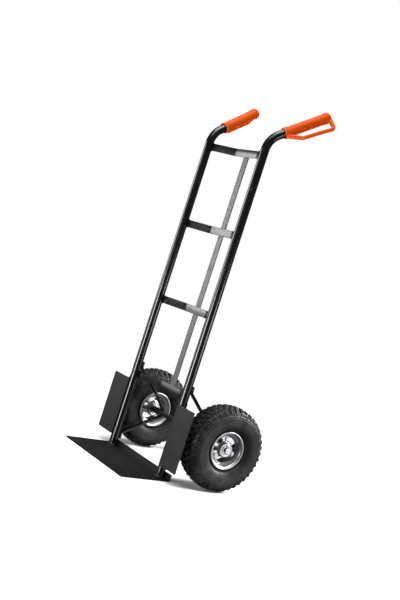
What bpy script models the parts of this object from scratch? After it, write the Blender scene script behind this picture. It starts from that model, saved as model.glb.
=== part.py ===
"""Two-wheeled hand truck: bent-tube frame, toe plate, pneumatic wheels on a fixed axle.

Metres, +Z up. The truck stands on its toe plate and tyres on the plane Z = 0, with the load side
towards -Y, the handles towards +Y and the axle along X. Its origin is the middle of its box, on
the ground. The frame leans back slightly, so its pieces are laid out in a frame of their own, with
the uprights along +Z, which LEAN turns about the foot of the uprights. The user stands at +Y, so
the left side is +X.
"""
import math

import bmesh
import bpy
from mathutils import Matrix, Vector

# ---- driving dimensions ----
GAP = 0.0003              # clearance between pieces that touch
LEAN_ANGLE = math.radians(3.1)

TUBE_R = 0.0131
TUBE_WALL = 0.0015
TUBE_X = 0.1537           # half the distance between the uprights' centre lines
BEND_CORNER_Z = 1.048     # where the upright's line meets the handle's line
BEND_R = 0.068
HANDLE_RISE = math.radians(37.5)
HANDLE_SPLAY = math.radians(13.0)
HANDLE_LENGTH = 0.196     # from the bend's corner to the tube's end
FOOT_CLEARANCE = 0.0002   # keeps the round foot clear of the plate at its lowest corner
BORE_OVERRUN = 0.01       # how far the tube's bore cutter runs past each end
TUBE_SIDES = 16
COPE_SIDES = 32
BEND_STEPS = 9

BAR_TOPS = (0.2545, 0.5096, 0.7647, 1.0198)
BAR_HEIGHT = 0.024
BAR_THICKNESS = 0.0035
BAR_FLAT_HALF = 0.057     # half the width of the recessed middle flat
BAR_RECESS = 0.044        # how far back the middle flat's front face lies
BAR_END_Y = 0.0075        # where the front face meets the upright's centre plane
STRAP_WIDTH = 0.026
STRAP_THICKNESS = 0.0035
STRAP_INSET = 0.002       # the strap's ends stop short of the outer bars' edges

PLATE_HALF = 0.1914
PLATE_FRONT = 0.152       # from the foot of the uprights to the plate's front edge
PLATE_THICKNESS = 0.003
FLANGE_TOP = 0.021

GUARD_INNER_X = 0.1535
GUARD_OUTER_X = 0.2484
GUARD_BOTTOM = 0.038
GUARD_TOP = 0.225
GUARD_THICKNESS = 0.003

TYRE_R = 0.130
WHEEL_X = 0.218           # half the track
AXLE_BEHIND = 0.1437      # from the foot of the uprights back to the axle
AXLE_R = 0.008
AXLE_HALF = 0.2535
PIN_X = 0.2503
PIN_R = 0.0016
PIN_LENGTH = 0.024
AXLE_SIDES = 24
PIN_SIDES = 10
HOLE_SIDES = 12
WASHER_SIDES = 16

BRACKET_HALF = 0.011
BRACKET_THICKNESS = 0.0045
BRACKET_TOP = 0.286       # upper end of the tab on the upright
BRACKET_LEAVES = 0.266    # where the upper strut leaves the upright
BRACKET_KNEE = (0.099, 0.1995)
BRACKET_LOWER = 0.044     # where the lower strut reaches the upright
BRACKET_BOTTOM = 0.027
BRACKET_BACK_TOP = 0.1455
BRACKET_BACK_BOTTOM = 0.1265

HUB_HALF = 0.028
HUB_R = 0.021
HUB_BORE_R = 0.014
BEARING_R = 0.0175
BEARING_WIDTH = 0.010
BEARING_BORE_R = 0.0084
WASHER_R = 0.0145
WASHER_THICKNESS = 0.0016
SPACER_R = 0.0105
AXLE_CLEARANCE = 0.0004   # radial, in washers and spacers
HUB_STEPS = 24
RIM_STEPS = 28
DISC_FACE = 0.0180        # from the wheel's middle plane out to the disc's flat face
DISC_THICKNESS = 0.0025
DISC_HOLE_R = HUB_R + GAP
WINDOW_INNER_R = 0.0255
BOLT_CIRCLE_R = 0.0326
BOLT_ANGLES = (95.0, 342.0, 215.0)
WINDOWS = (               # start and end in degrees, and outer radius
    (120.0, 190.0, 0.0405),
    (243.0, 327.0, 0.0405),
    (357.0, 33.0, 0.0435),
)
BOLT_R = 0.003
BOLT_HEAD_R = 0.0056
BOLT_HEAD_HEIGHT = 0.0038
BOLT_SIDES = 8
HEX_SIDES = 6
CUT_DEPTH = 0.06          # thickness of the cutters that go through both discs
WINDOW_CORNER = 0.004
VALVE_ANGLE = 15.0
VALVE_TILT = math.radians(20.0)
VALVE_BASE = (0.0035, 0.0410)  # across the wheel, and its radius
VALVE_STEPS = 12

TREAD_PITCHES = 20
TREAD_DEPTH = 0.0055
SHOULDER_R = 0.1185       # tread blocks lie outside this radius
CROWN_HALF = 0.025        # half the width of the staggered middle band of blocks
INNER_TUBE_STEPS = 20

GRIP_START = 0.052        # from the bend's corner to the collar
GRIP_LENGTH = 0.158
SOCKET_DEPTH = 0.1445
GRIP_STEPS = 24
LOOP_R = 0.0050
LOOP_SIDES = 10
LOOP_CORNER_R = 0.010
LOOP_CORNER_STEPS = 4
LOOP_TURN = math.radians(45.0)  # the guard loop hangs halfway between down and outboard

# ---- places worked out from the dimensions ----
FOOT_Y = (PLATE_FRONT - (AXLE_BEHIND + TYRE_R)) / 2
LEAN = Matrix.Translation((0, FOOT_Y, 0)) @ Matrix.Rotation(-LEAN_ANGLE, 4, "X")
AXLE_Y = FOOT_Y + AXLE_BEHIND
AXLE_IN_FRAME = LEAN.inverted() @ Vector((0, AXLE_Y, TYRE_R))
TUBE_BACK = TUBE_R + GAP
SIDES = (("left", 1), ("right", -1))
ALONG_X = Matrix(((0, 0, 1, 0), (1, 0, 0, 0), (0, 1, 0, 0), (0, 0, 0, 1)))
AXIS_X = Matrix.Rotation(math.radians(90), 4, "Y")

COLOURS = {
    "black_paint": ((0.012, 0.012, 0.013), 0.28, 0.0),
    "charcoal_paint": ((0.035, 0.036, 0.038), 0.5, 0.0),
    "orange_plastic": ((0.80, 0.11, 0.008), 0.42, 0.0),
    "tyre_rubber": ((0.022, 0.022, 0.022), 0.8, 0.0),
    "tube_rubber": ((0.03, 0.03, 0.03), 0.7, 0.0),
    "zinc_steel": ((0.55, 0.55, 0.56), 0.35, 1.0),
    "bearing_steel": ((0.42, 0.42, 0.43), 0.25, 1.0),
    "valve_rubber": ((0.02, 0.02, 0.02), 0.6, 0.0),
}


def clear_scene():
    for obj in list(bpy.data.objects):
        bpy.data.objects.remove(obj, do_unlink=True)


def new_collection(name):
    collection = bpy.data.collections.new(name)
    bpy.context.scene.collection.children.link(collection)
    return collection


clear_scene()
TRUCK = new_collection("hand_truck")
CUTTERS = new_collection("hand_truck_cutters")


# ---- building helpers ----
def material(name):
    found = bpy.data.materials.get(name)
    if found:
        return found
    colour, roughness, metallic = COLOURS[name]
    made = bpy.data.materials.new(name)
    made.use_nodes = True
    shader = made.node_tree.nodes["Principled BSDF"]
    shader.inputs["Base Color"].default_value = (*colour, 1)
    shader.inputs["Roughness"].default_value = roughness
    shader.inputs["Metallic"].default_value = metallic
    made.diffuse_color = (*colour, 1)
    return made


def place(obj, matrix, paint=None, smooth=True, collection=None):
    """Link an object, give it its place and its material."""
    (collection or TRUCK).objects.link(obj)
    obj.matrix_world = matrix
    if paint:
        obj.data.materials.clear()
        obj.data.materials.append(material(paint))
    if smooth and obj.type == "MESH":
        obj.data.shade_smooth()
        obj.data.set_sharp_from_angle(angle=math.radians(35))
    return obj


def as_mesh(curve_obj):
    """The curve object's filled mesh, with its caps welded."""
    bpy.context.view_layer.update()
    evaluated = curve_obj.evaluated_get(bpy.context.evaluated_depsgraph_get())
    mesh = bpy.data.meshes.new_from_object(evaluated)
    shape = bmesh.new()
    shape.from_mesh(mesh)
    bmesh.ops.remove_doubles(shape, verts=shape.verts, dist=0.00001)
    bmesh.ops.recalc_face_normals(shape, faces=shape.faces)
    shape.to_mesh(mesh)
    shape.free()
    bpy.data.objects.remove(curve_obj, do_unlink=True)
    return mesh


def poly_curve(name, points, cyclic=False):
    curve = bpy.data.curves.new(name, "CURVE")
    spline = curve.splines.new("POLY")
    spline.points.add(len(points) - 1)
    for point, co in zip(spline.points, points):
        point.co = (*co, 1)
    spline.use_cyclic_u = cyclic
    curve.render_resolution_u = 0
    return curve


def flat_piece(name, outline, thickness, matrix, paint):
    """A flat outline in local XY, with its thickness centred on local Z."""
    curve = poly_curve(name, [(x, y, 0) for x, y in outline], cyclic=True)
    curve.dimensions = "2D"
    curve.fill_mode = "BOTH"
    curve.extrude = thickness / 2
    holder = bpy.data.objects.new(name + "_outline", curve)
    CUTTERS.objects.link(holder)
    obj = bpy.data.objects.new(name, as_mesh(holder))
    return place(obj, matrix, paint, smooth=False)


def rod_mesh(name, points, radius, sides):
    """A round bar swept along points, as a closed mesh."""
    curve = poly_curve(name, points)
    curve.dimensions = "3D"
    curve.bevel_depth = radius
    curve.bevel_resolution = sides // 2 - 2
    curve.use_fill_caps = True
    holder = bpy.data.objects.new(name + "_path", curve)
    CUTTERS.objects.link(holder)
    return as_mesh(holder)


def turned_mesh(name, profile, steps, closed=True):
    """Turn (radius, height) points about local Z. The outer side runs top to bottom."""
    mesh = bpy.data.meshes.new(name)
    edges = [(i, i + 1) for i in range(len(profile) - 1)]
    if closed:
        edges.append((len(profile) - 1, 0))
    mesh.from_pydata([(r, 0, z) for r, z in profile], edges, [])
    holder = bpy.data.objects.new(name + "_profile", mesh)
    CUTTERS.objects.link(holder)
    screw = holder.modifiers.new("turn", "SCREW")
    screw.axis = "Z"
    screw.angle = math.tau
    screw.steps = steps
    screw.render_steps = steps
    screw.use_merge_vertices = True
    screw.merge_threshold = 0.00001
    return as_mesh(holder)


def turned(name, profile, steps, matrix, paint, closed=True):
    obj = bpy.data.objects.new(name, turned_mesh(name, profile, steps, closed))
    return place(obj, matrix, paint)


def ring_profile(inner, outer, low, high):
    return [(outer, high), (outer, low), (inner, low), (inner, high)]


def cylinder_mesh(name, radius, length, sides):
    mesh = bpy.data.meshes.new(name)
    shape = bmesh.new()
    bmesh.ops.create_cone(
        shape, cap_ends=True, segments=sides, radius1=radius, radius2=radius, depth=length
    )
    shape.to_mesh(mesh)
    shape.free()
    return mesh


def cutter(name, mesh, matrix):
    obj = place(bpy.data.objects.new(name, mesh), matrix, smooth=False, collection=CUTTERS)
    obj.hide_render = True
    obj.display_type = "WIRE"
    return obj


def cut(obj, tool, operation="DIFFERENCE"):
    boolean = obj.modifiers.new(tool.name, "BOOLEAN")
    boolean.operation = operation
    boolean.solver = "EXACT"
    boolean.object = tool
    return boolean


def arc(centre, radius, start, end, steps):
    """Points on a circle from start to end, both in radians and both included."""
    angles = [start + (end - start) * i / steps for i in range(steps + 1)]
    return [(centre[0] + radius * math.cos(a), centre[1] + radius * math.sin(a)) for a in angles]


# ---- frame ----
def handle_direction(side):
    """Unit vector along a handle, away from the bend, in the leaning frame."""
    level = math.cos(HANDLE_RISE)
    return Vector((
        side * level * math.sin(HANDLE_SPLAY),
        level * math.cos(HANDLE_SPLAY),
        math.sin(HANDLE_RISE),
    ))


def upright_path(side, extra):
    """Centre line of one tube, lengthened by extra at both ends."""
    corner = Vector((side * TUBE_X, 0, BEND_CORNER_Z))
    up = Vector((0, 0, 1))
    along = handle_direction(side)
    turn = up.angle(along)
    tangent = BEND_R * math.tan(turn / 2)
    side_axis = (along - up * along.dot(up)).normalized()
    centre = corner - up * tangent + side_axis * BEND_R
    foot_z = PLATE_THICKNESS + GAP + TUBE_R * math.sin(LEAN_ANGLE) + FOOT_CLEARANCE
    points = [Vector((side * TUBE_X, 0, foot_z - extra))]
    for i in range(BEND_STEPS + 1):
        a = turn * i / BEND_STEPS
        points.append(centre - side_axis * BEND_R * math.cos(a) + up * BEND_R * math.sin(a))
    points.append(corner + along * (HANDLE_LENGTH + extra))
    return points


def build_uprights():
    for label, side in SIDES:
        name = f"upright_{label}"
        wall = rod_mesh(name, upright_path(side, 0), TUBE_R, TUBE_SIDES)
        tube = place(bpy.data.objects.new(name, wall), LEAN, "black_paint")
        bore_path = upright_path(side, BORE_OVERRUN)
        bore = rod_mesh(name + "_bore", bore_path, TUBE_R - TUBE_WALL, TUBE_SIDES)
        cut(tube, cutter(name + "_bore", bore, LEAN))


def cope_cutters():
    """Round cutters that shape the crossbars' ends to the uprights."""
    length = BAR_TOPS[-1] + 0.1
    found = []
    for label, side in SIDES:
        mesh = cylinder_mesh(f"cope_{label}", TUBE_BACK + 0.0001, length, COPE_SIDES)
        centre = Matrix.Translation((side * TUBE_X, 0, length / 2))
        found.append(cutter(f"cope_{label}", mesh, LEAN @ centre))
    return found


def build_crossbars():
    copes = cope_cutters()
    end_x = TUBE_X - 0.003
    slope = (BAR_RECESS - BAR_END_Y) / (TUBE_X - BAR_FLAT_HALF)
    end_front = BAR_END_Y + slope * (TUBE_X - end_x)
    back_shift = BAR_THICKNESS * (math.sqrt(1 + slope * slope) - 1) / slope
    side_thickness = BAR_THICKNESS * math.sqrt(1 + slope * slope)
    outline = [
        (-end_x, end_front),
        (-BAR_FLAT_HALF, BAR_RECESS),
        (BAR_FLAT_HALF, BAR_RECESS),
        (end_x, end_front),
        (end_x, end_front + side_thickness),
        (BAR_FLAT_HALF + back_shift, BAR_RECESS + BAR_THICKNESS),
        (-BAR_FLAT_HALF - back_shift, BAR_RECESS + BAR_THICKNESS),
        (-end_x, end_front + side_thickness),
    ]
    for number, top in enumerate(BAR_TOPS, 1):
        centre = Matrix.Translation((0, 0, top - BAR_HEIGHT / 2))
        bar = flat_piece(
            f"crossbar_{number}", outline, BAR_HEIGHT, LEAN @ centre, "black_paint"
        )
        for tool in copes:
            cut(bar, tool)


def build_center_strap():
    low = BAR_TOPS[0] - BAR_HEIGHT + STRAP_INSET
    high = BAR_TOPS[-1] - STRAP_INSET
    half = STRAP_WIDTH / 2
    outline = [(-half, low), (half, low), (half, high), (-half, high)]
    y = BAR_RECESS + BAR_THICKNESS + GAP + STRAP_THICKNESS / 2
    upright = Matrix.Translation((0, y, 0)) @ Matrix.Rotation(math.radians(90), 4, "X")
    flat_piece("center_strap", outline, STRAP_THICKNESS, LEAN @ upright, "charcoal_paint")


def build_toe_plate():
    """Flat plate with a rear flange that leans with the uprights behind them."""
    lean = math.tan(LEAN_ANGLE)
    front_of_flange = TUBE_BACK / math.cos(LEAN_ANGLE) + PLATE_THICKNESS * lean
    rear = front_of_flange + PLATE_THICKNESS
    rise = FLANGE_TOP - PLATE_THICKNESS
    outline = [
        (-PLATE_FRONT, 0),
        (rear, 0),
        (rear + FLANGE_TOP * lean, FLANGE_TOP),
        (front_of_flange + rise * lean, FLANGE_TOP),
        (front_of_flange, PLATE_THICKNESS),
        (-PLATE_FRONT, PLATE_THICKNESS),
    ]
    place_at = Matrix.Translation((0, FOOT_Y, 0)) @ ALONG_X
    flat_piece("toe_plate", outline, 2 * PLATE_HALF, place_at, "black_paint")


def build_wheel_guards():
    width = GUARD_OUTER_X - GUARD_INNER_X
    height = GUARD_TOP - GUARD_BOTTOM
    for label, side in SIDES:
        corners = [(-width / 2, -height / 2), (width / 2, -height / 2)]
        outline = corners + [(-x, -y) for x, y in corners]
        centre = Matrix.Translation((
            side * (GUARD_INNER_X + GUARD_OUTER_X) / 2,
            -TUBE_BACK - GUARD_THICKNESS / 2,
            (GUARD_TOP + GUARD_BOTTOM) / 2,
        ))
        upright = centre @ Matrix.Rotation(math.radians(90), 4, "X")
        flat_piece(
            f"wheel_guard_{label}", outline, GUARD_THICKNESS, LEAN @ upright, "charcoal_paint"
        )


def offset_path(points, distance):
    """The polyline moved sideways by distance, with mitred corners."""
    lines = []
    for a, b in zip(points, points[1:]):
        along = (Vector(b) - Vector(a)).normalized()
        lines.append((along, Vector((-along.y, along.x)) * distance))
    moved = [Vector(points[0]) + lines[0][1]]
    for i in range(1, len(points) - 1):
        before, after = lines[i - 1][1], lines[i][1]
        middle = (before + after).normalized()
        moved.append(Vector(points[i]) + middle * (distance * distance / middle.dot(before)))
    moved.append(Vector(points[-1]) + lines[-1][1])
    return moved


def build_axle_brackets():
    """One bent flat bar on each side, from the upright back round the axle and forward again."""
    on_tube = TUBE_BACK + BRACKET_THICKNESS
    behind_axle = AXLE_IN_FRAME.y + AXLE_R + GAP + BRACKET_THICKNESS
    back = [
        (on_tube, BRACKET_TOP),
        (on_tube, BRACKET_LEAVES),
        BRACKET_KNEE,
        (behind_axle, BRACKET_BACK_TOP),
        (behind_axle, BRACKET_BACK_BOTTOM),
        (on_tube, BRACKET_LOWER),
        (on_tube, BRACKET_BOTTOM),
    ]
    back = [Vector(point) for point in back]
    front = offset_path(back, -BRACKET_THICKNESS)
    outline = [tuple(point) for point in back + front[::-1]]
    for label, side in SIDES:
        place_at = LEAN @ Matrix.Translation((side * TUBE_X, 0, 0)) @ ALONG_X
        flat_piece(
            f"axle_bracket_{label}", outline, 2 * BRACKET_HALF, place_at, "black_paint"
        )


def build_axle():
    axle_at = Matrix.Translation((0, AXLE_Y, TYRE_R))
    mesh = cylinder_mesh("axle", AXLE_R, 2 * AXLE_HALF, AXLE_SIDES)
    axle = place(bpy.data.objects.new("axle", mesh), axle_at @ AXIS_X, "bearing_steel")
    for label, side in SIDES:
        pin_at = axle_at @ Matrix.Translation((side * PIN_X, 0, 0))
        hole = cylinder_mesh(f"pin_hole_{label}", PIN_R + GAP, 4 * AXLE_R, HOLE_SIDES)
        cut(axle, cutter(f"pin_hole_{label}", hole, pin_at))
        pin = cylinder_mesh(f"cotter_pin_{label}", PIN_R, PIN_LENGTH, PIN_SIDES)
        place(bpy.data.objects.new(f"cotter_pin_{label}", pin), pin_at, "zinc_steel")
        bore = AXLE_R + AXLE_CLEARANCE
        washers = (
            ("inner", WHEEL_X - HUB_HALF - GAP - WASHER_THICKNESS),
            ("outer", WHEEL_X + HUB_HALF + GAP),
        )
        for place_name, low in washers:
            turned(
                f"washer_{place_name}_{label}",
                ring_profile(bore, WASHER_R, side * low, side * (low + WASHER_THICKNESS)),
                WASHER_SIDES, axle_at @ AXIS_X, "zinc_steel",
            )
        low = TUBE_X + BRACKET_HALF + GAP
        high = WHEEL_X - HUB_HALF - 2 * GAP - WASHER_THICKNESS
        turned(
            f"axle_spacer_{label}", ring_profile(bore, SPACER_R, side * low, side * high),
            WASHER_SIDES, axle_at @ AXIS_X, "black_paint",
        )


# ---- grips ----
def grip_body_mesh(name):
    """Turned grip about local Z, with its collar at 0 and its rounded end at GRIP_LENGTH."""
    profile = [
        (0.0, GRIP_LENGTH),
        (0.0090, GRIP_LENGTH - 0.0012),
        (0.0145, GRIP_LENGTH - 0.0050),
        (0.0172, GRIP_LENGTH - 0.0105),
        (0.0168, GRIP_LENGTH - 0.0180),
        (0.0160, GRIP_LENGTH - 0.0300),
        (0.0159, 0.0120),
        (0.0173, 0.0055),
        (0.0176, 0.0015),
        (0.0170, 0.0),
        (0.0, 0.0),
    ]
    return turned_mesh(name, profile, GRIP_STEPS, closed=False)


def rounded_corners(points, radius, steps):
    """Replace each inner corner of a 3D polyline with an arc of the given radius."""
    smooth = [points[0]]
    for a, b, c in zip(points, points[1:], points[2:]):
        back, ahead = (a - b).normalized(), (c - b).normalized()
        half = back.angle(ahead) / 2
        reach = radius / math.tan(half)
        centre = b + (back + ahead).normalized() * (radius / math.sin(half))
        start = (b + back * reach - centre).normalized()
        end = (b + ahead * reach - centre).normalized()
        for i in range(steps + 1):
            smooth.append(centre + start.slerp(end, i / steps) * radius)
    smooth.append(points[-1])
    return smooth


def build_grips():
    for label, side in SIDES:
        name = f"grip_{label}"
        along = handle_direction(side)
        outboard = Vector((along.y, -along.x, 0)).normalized() * side
        plumb = Vector((0, 0, -1))
        down = (plumb - along * plumb.dot(along)).normalized()
        hang = down * math.cos(LOOP_TURN) + outboard * math.sin(LOOP_TURN)
        rows = Matrix((hang, along.cross(hang), along)).transposed().to_4x4()
        start = Vector((side * TUBE_X, 0, BEND_CORNER_Z)) + along * GRIP_START
        place_at = LEAN @ Matrix.Translation(start) @ rows
        body = place(bpy.data.objects.new(name, grip_body_mesh(name)), place_at, "orange_plastic")
        corners = [
            Vector((0.0150, 0, 0.0080)),
            Vector((0.0400, 0, 0.0420)),
            Vector((0.0455, 0, 0.1440)),
            Vector((0.0150, 0, 0.1480)),
        ]
        path = rounded_corners(corners, LOOP_CORNER_R, LOOP_CORNER_STEPS)
        loop = rod_mesh(name + "_loop", path, LOOP_R, LOOP_SIDES)
        cut(body, cutter(name + "_loop", loop, place_at), "UNION")
        socket = cylinder_mesh(name + "_socket", TUBE_R + GAP, 2 * SOCKET_DEPTH, GRIP_STEPS)
        cut(body, cutter(name + "_socket", socket, place_at))


# ---- wheels ----
def rim_profile():
    """Section of one pressed rim half, as (radius, distance from the wheel's middle plane)."""
    near = GAP / 2
    back = DISC_FACE - DISC_THICKNESS
    return [
        (DISC_HOLE_R, 0.0215),
        (0.0268, DISC_FACE),
        (0.0385, DISC_FACE),
        (0.0448, 0.0140),
        (0.0470, 0.0150),
        (0.0492, 0.0300),
        (0.0526, 0.0332),
        (0.0562, 0.0348),
        (0.0583, 0.0352),
        (0.0590, 0.0330),
        (0.0545, 0.0310),
        (0.0516, 0.0285),
        (0.0512, near),
        (0.0487, near),
        (0.0480, 0.0125),
        (0.0448, 0.0115),
        (0.0380, back),
        (0.0268, back),
        (DISC_HOLE_R, 0.0190),
    ]


def window_outline(start, end, outer_r):
    """Kidney-shaped window between two angles in degrees, with rounded ends."""
    a = math.radians(start)
    b = math.radians(end if end > start else end + 360)
    outer_corner = WINDOW_CORNER / outer_r
    inner_corner = WINDOW_CORNER / WINDOW_INNER_R
    high = outer_r - WINDOW_CORNER
    low = WINDOW_INNER_R + WINDOW_CORNER
    points = arc((0, 0), outer_r, a + outer_corner, b - outer_corner, 6)
    points += [(r * math.cos(b), r * math.sin(b)) for r in (high, low)]
    points += arc((0, 0), WINDOW_INNER_R, b - inner_corner, a + inner_corner, 4)
    points += [(r * math.cos(a), r * math.sin(a)) for r in (low, high)]
    return points


def disc_cutters(label, wheel_at):
    """Window and bolt-hole cutters for both rim halves of one wheel."""
    found = []
    for number, window in enumerate(WINDOWS, 1):
        name = f"window_{number}_{label}"
        piece = flat_piece(name, window_outline(*window), CUT_DEPTH, wheel_at, None)
        TRUCK.objects.unlink(piece)
        CUTTERS.objects.link(piece)
        piece.hide_render = True
        piece.display_type = "WIRE"
        found.append(piece)
    for number, degrees in enumerate(BOLT_ANGLES, 1):
        mesh = cylinder_mesh(f"bolt_hole_{number}_{label}", BOLT_R + GAP, CUT_DEPTH, HOLE_SIDES)
        found.append(cutter(mesh.name, mesh, wheel_at @ on_bolt_circle(degrees)))
    return found


def on_bolt_circle(degrees):
    angle = math.radians(degrees)
    return Matrix.Translation((BOLT_CIRCLE_R * math.cos(angle), BOLT_CIRCLE_R * math.sin(angle), 0))


def build_rims(label, wheel_at):
    cutters = disc_cutters(label, wheel_at)
    halves = (("rim_outer", rim_profile()), ("rim_inner", [(r, -z) for r, z in rim_profile()]))
    for part, profile in halves:
        rim = turned(f"{part}_{label}", profile, RIM_STEPS, wheel_at, "zinc_steel")
        for tool in cutters:
            cut(rim, tool)


def build_rim_bolts(label, wheel_at):
    outer_face = DISC_FACE + GAP
    for number, degrees in enumerate(BOLT_ANGLES, 1):
        here = wheel_at @ on_bolt_circle(degrees)
        name = f"rim_bolt_{number}_{label}"
        tail = -outer_face - 2 * BOLT_HEAD_HEIGHT
        head = cylinder_mesh(name, BOLT_HEAD_R, BOLT_HEAD_HEIGHT, HEX_SIDES)
        head.transform(Matrix.Translation((0, 0, outer_face + BOLT_HEAD_HEIGHT / 2)))
        bolt = place(bpy.data.objects.new(name, head), here, "zinc_steel", smooth=False)
        length = outer_face + BOLT_HEAD_HEIGHT / 2 - tail
        shank = cylinder_mesh(name + "_shank", BOLT_R, length, BOLT_SIDES)
        shank_at = here @ Matrix.Translation((0, 0, tail + length / 2))
        cut(bolt, cutter(name + "_shank", shank, shank_at), "UNION")
        nut_name = f"rim_nut_{number}_{label}"
        nut = cylinder_mesh(nut_name, BOLT_HEAD_R, BOLT_HEAD_HEIGHT, HEX_SIDES)
        nut_at = here @ Matrix.Translation((0, 0, -outer_face - BOLT_HEAD_HEIGHT / 2))
        nut_obj = place(bpy.data.objects.new(nut_name, nut), nut_at, "zinc_steel", smooth=False)
        hole = cylinder_mesh(nut_name + "_hole", BOLT_R + GAP, CUT_DEPTH, HOLE_SIDES)
        cut(nut_obj, cutter(nut_name + "_hole", hole, nut_at))


def build_hub(label, wheel_at):
    seat_r = BEARING_R + GAP
    seat_start = HUB_HALF - BEARING_WIDTH - 2 * GAP
    half = [(HUB_R, HUB_HALF), (seat_r, HUB_HALF), (seat_r, seat_start), (HUB_BORE_R, seat_start)]
    profile = [(r, -z) for r, z in half] + half[::-1]
    turned(f"hub_{label}", profile, HUB_STEPS, wheel_at, "zinc_steel")
    for part, low in (("outer", seat_start + GAP), ("inner", -seat_start - GAP - BEARING_WIDTH)):
        turned(
            f"bearing_{part}_{label}",
            ring_profile(BEARING_BORE_R, BEARING_R, low, low + BEARING_WIDTH),
            WASHER_SIDES, wheel_at, "bearing_steel",
        )


def tyre_half():
    """Outer contour of the tyre from the bead to just beside the tread's middle."""
    return [
        (0.0524, 0.0282), (0.0575, 0.0306), (0.0630, 0.0338), (0.0760, 0.0425),
        (0.0940, 0.0462), (0.1110, 0.0440), (0.1225, 0.0400), (0.1287, 0.0230),
    ]


def build_tyre(label, wheel_at):
    outside = tyre_half()
    crown = [(TYRE_R, 0.0065)]
    inside = [(0.1165, 0.0250), (0.1030, 0.0375), (0.0850, 0.0375), (0.0650, 0.0262),
              (0.0524, 0.0240)]
    upper = outside + crown
    lower = [(r, -z) for r, z in upper[::-1]]
    cavity = [(r, -z) for r, z in inside[::-1]] + inside
    profile = upper + lower + cavity
    mesh = turned_mesh(f"tyre_{label}", profile, 2 * TREAD_PITCHES, closed=True)
    for vertex in mesh.vertices:
        sink_between_blocks(vertex)
    shape = bmesh.new()
    shape.from_mesh(mesh)
    bmesh.ops.recalc_face_normals(shape, faces=shape.faces)
    shape.to_mesh(mesh)
    shape.free()
    place(bpy.data.objects.new(f"tyre_{label}", mesh), wheel_at, "tyre_rubber")


def sink_between_blocks(vertex):
    """Lower every second row of the tread's sides, with the middle band offset by one row.

    The crown itself stays whole, so the tyre rests on its full radius.
    """
    x, y, z = vertex.co
    radius = math.hypot(x, y)
    on_crown = radius > TYRE_R - GAP
    if radius < SHOULDER_R or on_crown:
        return
    row = round(math.atan2(y, x) / math.tau * 2 * TREAD_PITCHES)
    staggered = 1 if abs(z) < CROWN_HALF else 0
    if (row + staggered) % 2 == 0:
        return
    scale = (radius - TREAD_DEPTH) / radius
    vertex.co = (x * scale, y * scale, z)


def build_inner_tube(label, wheel_at):
    """C-section rubber ring inside the tyre, open towards the rim where the valve enters."""
    centre_r, across, deep, wall = 0.0845, 0.0300, 0.0280, 0.002
    opening = math.radians(14)
    count = 7
    angles = [math.pi + opening + (math.tau - 2 * opening) * i / count for i in range(count + 1)]
    outer = [(centre_r + deep * math.cos(a), across * math.sin(a)) for a in angles]
    inner = [
        (centre_r + (deep - wall) * math.cos(a), (across - wall) * math.sin(a)) for a in angles
    ]
    turned(f"inner_tube_{label}", outer + inner[::-1], INNER_TUBE_STEPS, wheel_at, "tube_rubber")


def build_valve(label, wheel_at):
    """Short rubber valve beside the rim's barrel, leaning out through its window."""
    profile = [
        (0.0, 0.0230), (0.0030, 0.0225), (0.0034, 0.0150), (0.0028, 0.0145),
        (0.0038, 0.0070), (0.0048, 0.0020), (0.0048, 0.0), (0.0, 0.0),
    ]
    around = Matrix.Rotation(math.radians(VALVE_ANGLE), 4, "Z")
    base = Matrix.Translation((VALVE_BASE[1], 0, VALVE_BASE[0]))
    lean_in = Matrix.Rotation(-VALVE_TILT, 4, "Y")
    turned(
        f"valve_stem_{label}", profile, VALVE_STEPS, wheel_at @ around @ base @ lean_in,
        "valve_rubber", closed=False,
    )


def build_wheels():
    for label, side in SIDES:
        quarter = math.radians(90) * side
        turn = Matrix.Rotation(quarter, 4, "Y") @ Matrix.Rotation(quarter, 4, "Z")
        wheel_at = Matrix.Translation((side * WHEEL_X, AXLE_Y, TYRE_R)) @ turn
        build_tyre(label, wheel_at)
        build_inner_tube(label, wheel_at)
        build_rims(label, wheel_at)
        build_rim_bolts(label, wheel_at)
        build_hub(label, wheel_at)
        build_valve(label, wheel_at)


build_uprights()
build_crossbars()
build_center_strap()
build_toe_plate()
build_wheel_guards()
build_axle_brackets()
build_axle()
build_grips()
build_wheels()
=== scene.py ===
"""Studio scene of a two-wheeled hand truck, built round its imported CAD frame.

Metres, +Z up; the load side is -Y, the handles are at +Y and the axle runs along X. The frame's
pieces are laid out in the leaning frame of the uprights, which LEAN turns into place. A wheel's
pieces are laid out about local Z, which points outboard along the axle.
"""

import math
import random

import bmesh
import bpy
from mathutils import Matrix, Vector


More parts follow.
